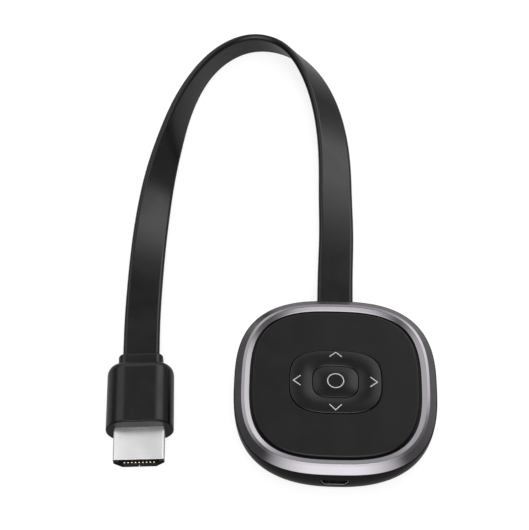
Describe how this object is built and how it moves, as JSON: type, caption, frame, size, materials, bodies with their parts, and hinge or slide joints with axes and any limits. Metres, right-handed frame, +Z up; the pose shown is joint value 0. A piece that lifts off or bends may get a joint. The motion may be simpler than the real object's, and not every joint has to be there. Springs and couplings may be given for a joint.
{
  "type": "wireless display dongle",
  "caption": "Flat soft-cornered puck with a metal-ringed top, rocking direction pad and select key, micro-USB socket, and a flat cable to an HDMI plug.",
  "frame": {"origin": "on the table, under the middle of the case's base", "axes": "+Z up, +Y towards the side where the cable leaves, +X to the right seen from the socket's side"},
  "size_m": [0.0914, 0.1637, 0.0124],
  "materials": {
    "case_gloss": "glossy black",
    "cover_satin": "satin black",
    "key_satin": "satin black",
    "bezel_metal": "satin gunmetal plating",
    "cable_jacket": "smooth black jacket",
    "plug_metal": "bright plated",
    "contact_gold": "gold plated",
    "black_insulator": "moulded black",
    "board_green": "solder mask",
    "board_blue": "solder mask",
    "chip_black": "moulded epoxy",
    "ceramic_tan": "fired ceramic",
    "silicone_grey": "matte silicone",
    "frame_white": "moulded acetal",
    "screw_steel": "zinc plated",
    "spreader_metal": "plain sheet",
    "thermal_pink": "soft gap pad",
    "wire_copper": "enamelled copper"
  },
  "bodies": {
    "case": {"bottom_shell": "case_gloss", "plug_overmold": "case_gloss", "top_cover": "cover_satin", "bezel_ring": "bezel_metal", "flat_cable": "cable_jacket", "plug_collar": "cable_jacket", "cable_grommet": "cable_jacket", "cable_tail": "cable_jacket", "plug_tail": "cable_jacket", "plug_shell": "plug_metal", "micro_usb_shell": "plug_metal", "plug_can": "plug_metal", "wifi_can": "plug_metal", "crystal": "plug_metal", "plug_contacts": "contact_gold", "micro_usb_contacts": "contact_gold", "key_contacts": "contact_gold", "plug_insulator": "black_insulator", "micro_usb_tongue": "black_insulator", "cable_clamp": "black_insulator", "main_pcb": "board_green", "plug_card": "board_green", "key_board": "board_blue", "wifi_board": "board_blue", "soc_chip": "chip_black", "memory_chip": "chip_black", "flash_chip": "chip_black", "power_chip": "chip_black", "inductors": "chip_black", "link_socket": "chip_black", "capacitors": "ceramic_tan", "wifi_antenna": "ceramic_tan", "keypad_mat": "silicone_grey", "link_plug": "frame_white", "case_screws": "screw_steel", "key_screws": "screw_steel", "clamp_screws": "screw_steel", "heat_spreader": "spreader_metal", "thermal_pad": "thermal_pink", "cable_wires": "wire_copper", "plug_wires": "wire_copper"},
    "rocker_frame": {"gimbal_frame": "frame_white"},
    "direction_pad": {"dpad_ring": "key_satin"},
    "select_key": {"centre_key": "key_satin"}
  },
  "joints": [
    {"name": "pad_up_down", "type": "hinge", "parent": "case", "child": "rocker_frame", "pos_m": [0, 0.00015, 0.0094], "axis": [1, 0, 0], "range_deg": [-2, 2], "stiffness_Nm_per_rad": 0.5, "deforming": ["keypad_mat"]},
    {"name": "pad_left_right", "type": "hinge", "parent": "rocker_frame", "child": "direction_pad", "pos_m": [0, 0.00015, 0.0094], "axis": [0, 1, 0], "range_deg": [-2, 2], "stiffness_Nm_per_rad": 0.5, "deforming": ["keypad_mat"]},
    {"name": "select_press", "type": "slide", "parent": "case", "child": "select_key", "axis": [0, 0, -1], "range_m": [0, 0.0004], "stiffness_N_per_m": 1500, "deforming": ["keypad_mat"]}
  ]
}
